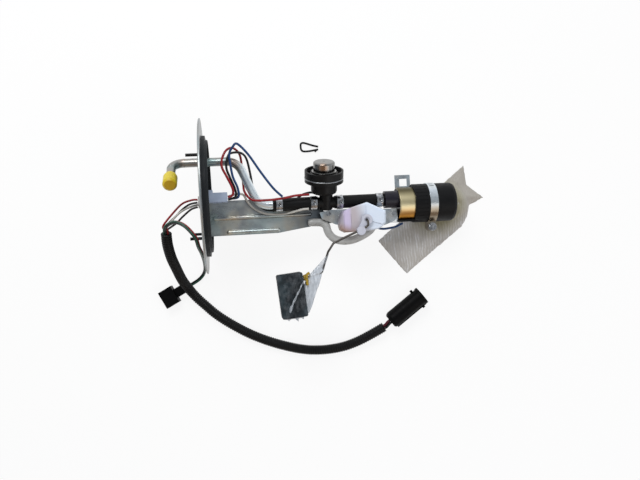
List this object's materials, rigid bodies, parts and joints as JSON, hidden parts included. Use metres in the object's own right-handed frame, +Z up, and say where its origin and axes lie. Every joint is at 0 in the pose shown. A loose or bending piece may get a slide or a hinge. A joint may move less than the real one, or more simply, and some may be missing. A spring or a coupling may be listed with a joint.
{
  "type": "in-tank fuel pump module",
  "caption": "Hanger-type in-tank fuel pump and level sender with regulator tower, steel outlet tube, strainer sock, float arm and wiring harness.",
  "frame": {"origin": "bottom centre of the module's box as it lies on a bench, without its wires, harness and plugs", "axes": "+X from the flange to the pump, +Z up from the bench, which faces the viewpoint of the picture"},
  "size_m": [0.394, 0.2738, 0.1657],
  "materials": {
    "zinc_flange": "zinc-plated, satin",
    "zinc_hanger": "zinc-plated, satin",
    "tube_plating": "yellowish zinc, satin",
    "bright_steel": "bright",
    "black_rubber": "satin rubber",
    "black_plastic": "moulded black",
    "blue_black_plastic": "moulded blue-black",
    "white_plastic": "milky",
    "yellow_vinyl": "soft vinyl",
    "gold_case": "gold chromate",
    "spring_steel": "drawn wire",
    "brass_parts": "turned",
    "copper_rotor": "laminations and copper",
    "ferrite": "sintered",
    "cast_aluminium": "die cast",
    "sock_cloth": "woven nylon",
    "float_foam": "closed cell",
    "clear_film": "thin film",
    "clear_nylon": "translucent",
    "arm_wire": "dull wire",
    "wire_red": "insulation",
    "wire_black": "insulation",
    "wire_blue": "insulation",
    "wire_white": "insulation",
    "wire_green": "insulation",
    "wire_brown": "insulation",
    "loom_black": "corrugated polyethylene",
    "clip_black": "phosphated black",
    "card_ceramic": "printed ceramic"
  },
  "bodies": {
    "module": {"flange_plate": "zinc_flange", "flange_gasket": "black_rubber", "studs": "clip_black", "outlet_tube": "tube_plating", "pass_through": "white_plastic", "inner_plug": "white_plastic", "hanger": "zinc_hanger", "hanger_rivets": "bright_steel", "pump_carrier": "zinc_hanger", "lower_hose": "black_rubber", "upper_hose": "black_rubber", "hose_clamps": "bright_steel", "regulator_tee": "black_plastic", "regulator_can": "bright_steel", "regulator_seal": "black_rubber", "retainer_ring": "spring_steel", "regulator_spring": "spring_steel", "pump_case": "gold_case", "pump_head": "blue_black_plastic", "check_spring": "spring_steel", "pump_magnets": "ferrite", "pump_brushes": "ferrite", "pump_chamber": "cast_aluminium", "pump_inlet": "cast_aluminium", "pump_sleeve": "black_rubber", "band_clamp": "bright_steel", "band_screw": "bright_steel", "strainer_collar": "white_plastic", "strainer_sock": "sock_cloth", "sender_housing": "white_plastic", "sender_card": "card_ceramic", "return_tube": "clear_nylon", "wire_red": "wire_red", "wire_black": "wire_black", "wire_blue": "wire_blue", "wire_white": "wire_white", "wire_short": "wire_blue", "lead_red": "wire_red", "lead_black": "wire_black", "lead_white": "wire_white", "lead_brown": "wire_brown", "harness_loom": "loom_black", "round_connector": "black_plastic", "connector_tails": "wire_red", "plug_green": "wire_green", "plug_red": "wire_red", "plug_black": "wire_black", "t_plug": "black_plastic"},
    "float_swing": {"arm_hub": "white_plastic", "wiper": "brass_parts", "float_arm": "arm_wire", "float": "float_foam", "float_bag": "clear_film", "bag_tie": "yellow_vinyl"},
    "pump_rotor": {"armature": "copper_rotor", "impeller": "brass_parts"},
    "regulator_poppet": {"regulator_valve": "brass_parts"},
    "outlet_poppet": {"check_valve": "white_plastic"},
    "shipping_cap": {"outlet_cap": "yellow_vinyl"},
    "hairpin": {"loose_clip": "clip_black"}
  },
  "joints": [
    {"name": "float_arm_swing", "type": "hinge", "parent": "module", "child": "float_swing", "pos_m": [0.03447, -0.00478, 0.06939], "axis": [0.1291, 0, 0.9916], "range_deg": [-15, 65]},
    {"name": "pump_spin", "type": "hinge", "parent": "module", "child": "pump_rotor", "pos_m": [0.07084, 0.01172, 0.03813], "axis": [0.9916, 0, -0.1291], "continuous": true},
    {"name": "regulator_lift", "type": "slide", "parent": "module", "child": "regulator_poppet", "axis": [0.0504, 0.9205, 0.3875], "range_m": [0, 0.0012], "deforming": ["regulator_spring"]},
    {"name": "check_lift", "type": "slide", "parent": "module", "child": "outlet_poppet", "axis": [-0.9916, 0, 0.1291], "range_m": [0, 0.0015], "deforming": ["check_spring"]},
    {"name": "cap_pull", "type": "slide", "parent": "module", "child": "shipping_cap", "axis": [0.1082, -0.5446, 0.8317], "range_m": [0, 0.022]},
    {"name": "clip_lift", "type": "slide", "parent": "module", "child": "hairpin", "axis": [0, 0, 1], "range_m": [0, 0.03]}
  ]
}
